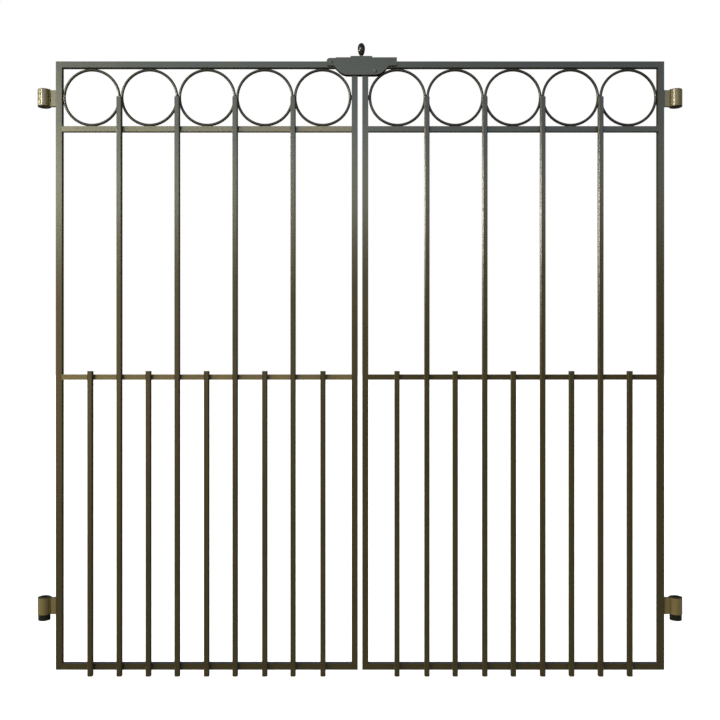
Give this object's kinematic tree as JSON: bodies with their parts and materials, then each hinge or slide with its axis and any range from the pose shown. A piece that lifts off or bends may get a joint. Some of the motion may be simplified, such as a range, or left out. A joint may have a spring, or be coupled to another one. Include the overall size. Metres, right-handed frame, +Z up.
{
  "type": "wrought iron driveway gate, a pair of leaves",
  "caption": "Pair of wrought iron driveway gate leaves with a row of rings, tall bars and dog bars, hinge eyes on pins and a throw-over latch.",
  "frame": {"origin": "middle of the underside of the left hinge pin's collar, on the left hinge axis", "axes": "+X from the left hinge to the right one, +Y through the gate away from the side the bars are on, +Z up"},
  "size_m": [2.14, 0.048, 2.0943],
  "materials": {
    "frame_bar": "semi-gloss dark bronze paint",
    "ring_bar": "semi-gloss dark bronze paint",
    "infill_bar": "semi-gloss dark bronze paint",
    "hinge_eye": "semi-gloss bronze paint",
    "hinge_strap": "semi-gloss bronze paint",
    "hinge_pin": "dark oiled steel",
    "latch_plate": "semi-gloss dark bronze paint",
    "knob": "glossy dark bronze",
    "latch_fixing": "dark steel",
    "latch_keeper": "dark steel"
  },
  "bodies": {
    "hinge_pins": {"left_hinge_pin": "hinge_pin", "right_hinge_pin": "hinge_pin"},
    "left_leaf": {"left_hanging_stile": "frame_bar", "left_meeting_stile": "frame_bar", "left_top_rail": "frame_bar", "left_ring_rail": "frame_bar", "left_mid_rail": "frame_bar", "left_bottom_rail": "frame_bar", "left_ring_1": "ring_bar", "left_ring_2": "ring_bar", "left_ring_3": "ring_bar", "left_ring_4": "ring_bar", "left_ring_5": "ring_bar", "left_tall_bars": "infill_bar", "left_dog_bars": "infill_bar", "left_top_eye": "hinge_eye", "left_bottom_eye": "hinge_eye", "left_top_strap": "hinge_strap", "left_bottom_strap": "hinge_strap", "latch_stud": "latch_fixing"},
    "right_leaf": {"right_hanging_stile": "frame_bar", "right_meeting_stile": "frame_bar", "right_top_rail": "frame_bar", "right_ring_rail": "frame_bar", "right_mid_rail": "frame_bar", "right_bottom_rail": "frame_bar", "right_ring_1": "ring_bar", "right_ring_2": "ring_bar", "right_ring_3": "ring_bar", "right_ring_4": "ring_bar", "right_ring_5": "ring_bar", "right_tall_bars": "infill_bar", "right_dog_bars": "infill_bar", "right_top_eye": "hinge_eye", "right_bottom_eye": "hinge_eye", "right_top_strap": "hinge_strap", "right_bottom_strap": "hinge_strap", "latch_keeper": "latch_keeper"},
    "latch": {"latch_hood": "latch_plate", "latch_block": "latch_plate", "latch_knob": "knob", "latch_rivet": "latch_fixing"}
  },
  "joints": [
    {"name": "left_leaf_swing", "type": "hinge", "parent": "hinge_pins", "child": "left_leaf", "pos_m": [0, 0, 0.047], "axis": [0, 0, -1], "range_deg": [0, 90]},
    {"name": "right_leaf_swing", "type": "hinge", "parent": "hinge_pins", "child": "right_leaf", "pos_m": [2.098, 0, 0.047], "axis": [0, 0, -1], "range_deg": [0, 90]},
    {"name": "latch_lift", "type": "hinge", "parent": "left_leaf", "child": "latch", "pos_m": [0.953, -0.0165, 1.8468], "axis": [0, -1, 0], "range_deg": [0, 90]}
  ]
}
